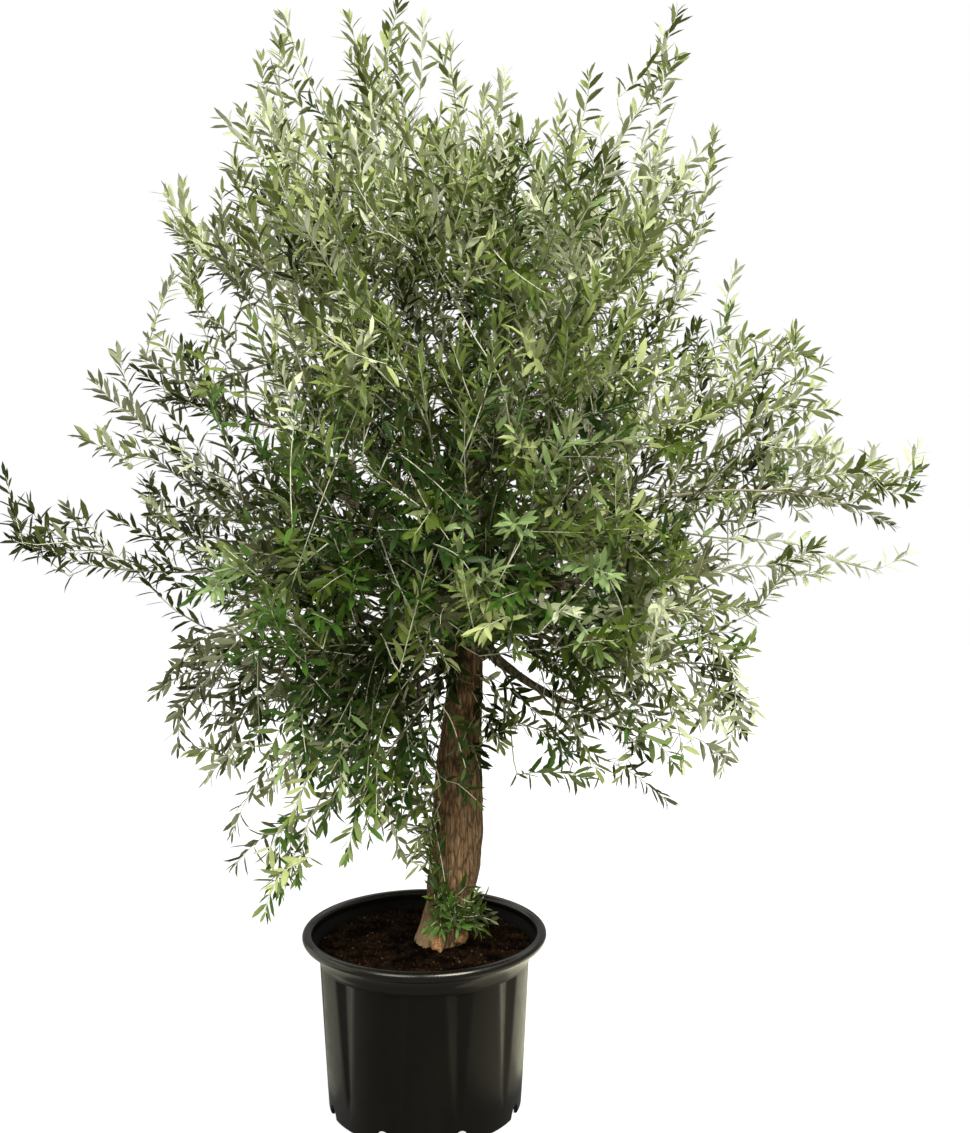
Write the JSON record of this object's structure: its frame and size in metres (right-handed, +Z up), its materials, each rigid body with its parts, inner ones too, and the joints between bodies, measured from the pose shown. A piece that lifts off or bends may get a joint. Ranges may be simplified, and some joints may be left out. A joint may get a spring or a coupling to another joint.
{
  "type": "potted olive tree",
  "caption": "Olive tree with a leaning brown trunk and a loose, airy crown of slender grey-green leaves, growing in a round black fluted nursery pot.",
  "frame": {"origin": "centre of the pot's flat underside, on the surface it stands on", "axes": "+Z up the tree, +X to the tree's right seen from the front, +Y to its back"},
  "size_m": [1.7927, 1.2908, 2.2098],
  "materials": {
    "pot_plastic": "black moulded plastic with a faint satin sheen",
    "potting_soil": "dark crumbly peat and bark compost",
    "bark": "rough fissured grey-brown bark",
    "foliage": "leathery leaves, olive green above and silvery below"
  },
  "bodies": {
    "root": {"pot": "pot_plastic", "soil": "potting_soil", "trunk": "bark", "bough_skirt_right": "bark", "bough_skirt_left": "bark", "bough_skirt_front_left": "bark", "bough_skirt_back_left": "bark", "bough_low_right": "bark", "bough_low_left": "bark", "bough_low_front": "bark", "bough_low_front_right": "bark", "bough_low_back_left": "bark", "bough_low_back_right": "bark", "bough_middle_left": "bark", "bough_middle_right": "bark", "bough_middle_front_left": "bark", "bough_middle_front_right": "bark", "bough_middle_back_left": "bark", "bough_middle_back_right": "bark", "bough_upper_right": "bark", "bough_upper_left": "bark", "bough_upper_back": "bark", "bough_upper_front": "bark", "foliage_top_left": "foliage", "foliage_top_front": "foliage", "foliage_top_back": "foliage", "foliage_top_middle": "foliage", "foliage_top_right": "foliage", "foliage_upper_left": "foliage", "foliage_upper_front_left": "foliage", "foliage_upper_front_right": "foliage", "foliage_upper_right": "foliage", "foliage_upper_back_right": "foliage", "foliage_upper_back_left": "foliage", "foliage_middle_left": "foliage", "foliage_middle_front_left": "foliage", "foliage_middle_front_right": "foliage", "foliage_middle_right": "foliage", "foliage_middle_back_right": "foliage", "foliage_middle_back_left": "foliage", "foliage_low_left": "foliage", "foliage_low_front_left": "foliage", "foliage_low_front": "foliage", "foliage_low_front_right": "foliage", "foliage_low_right": "foliage", "foliage_low_back_right": "foliage", "foliage_low_back_left": "foliage", "foliage_skirt_left": "foliage", "foliage_skirt_front_left": "foliage", "foliage_skirt_right": "foliage", "foliage_skirt_back_left": "foliage", "foliage_skirt_back_right": "foliage", "foliage_hanging_spray": "foliage", "foliage_left_arm": "foliage", "foliage_right_arm_rising": "foliage", "foliage_right_arm_middle": "foliage", "foliage_right_arm_low": "foliage", "foliage_low_left_spray": "foliage", "foliage_foot_shoots": "foliage"}
  },
  "joints": []
}
